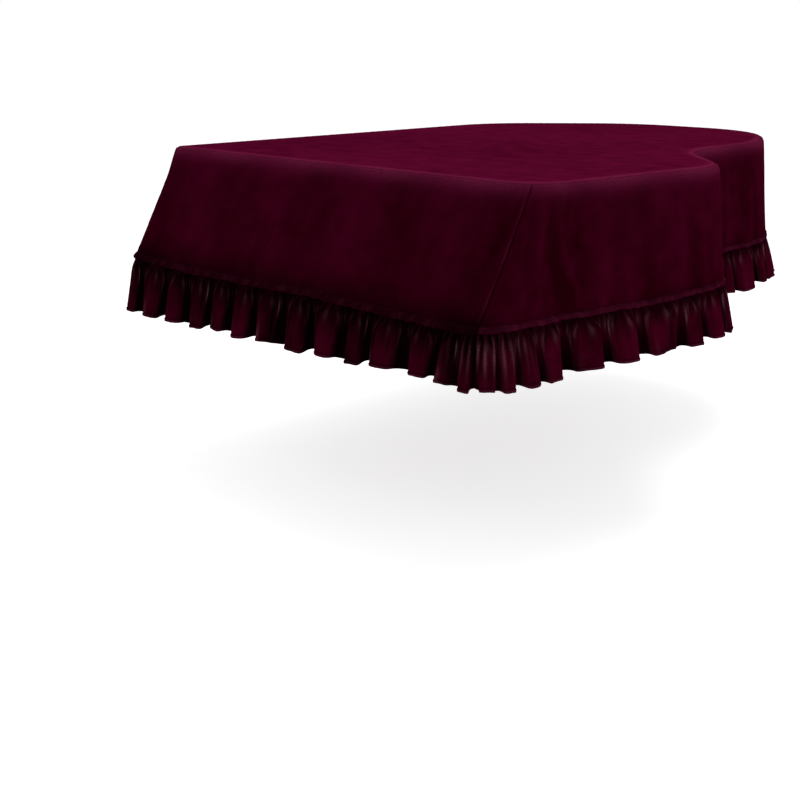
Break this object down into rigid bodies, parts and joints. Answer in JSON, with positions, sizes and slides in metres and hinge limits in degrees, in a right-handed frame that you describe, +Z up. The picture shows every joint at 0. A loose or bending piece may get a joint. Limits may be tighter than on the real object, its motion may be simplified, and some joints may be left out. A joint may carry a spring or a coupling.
{
  "type": "grand piano cover",
  "caption": "Fitted velvet cover for a grand piano: flat top in the piano's outline, slanting front drop, hanging side drops and a gathered ruffle along the hem, hollow underneath.",
  "frame": {"origin": "underside of the top panel, over the middle of the piano's lid, where the lid holds the cover up", "axes": "+Z up, +Y towards the piano's tail (the longest extent), +X towards the treble side"},
  "size_m": [1.6955, 2.2359, 0.4931],
  "materials": {
    "top_velvet": "burgundy velvet, matt with a bright nap along the rim",
    "drop_velvet": "the same burgundy velvet seen against its nap, darker",
    "ruffle_velvet": "burgundy velvet gathered into folds"
  },
  "bodies": {
    "root": {"top_panel": "top_velvet", "front_drop": "drop_velvet", "bentside_drop": "drop_velvet", "spine_drop": "drop_velvet", "front_ruffle": "ruffle_velvet", "bentside_ruffle": "ruffle_velvet", "spine_ruffle": "ruffle_velvet"}
  },
  "joints": []
}
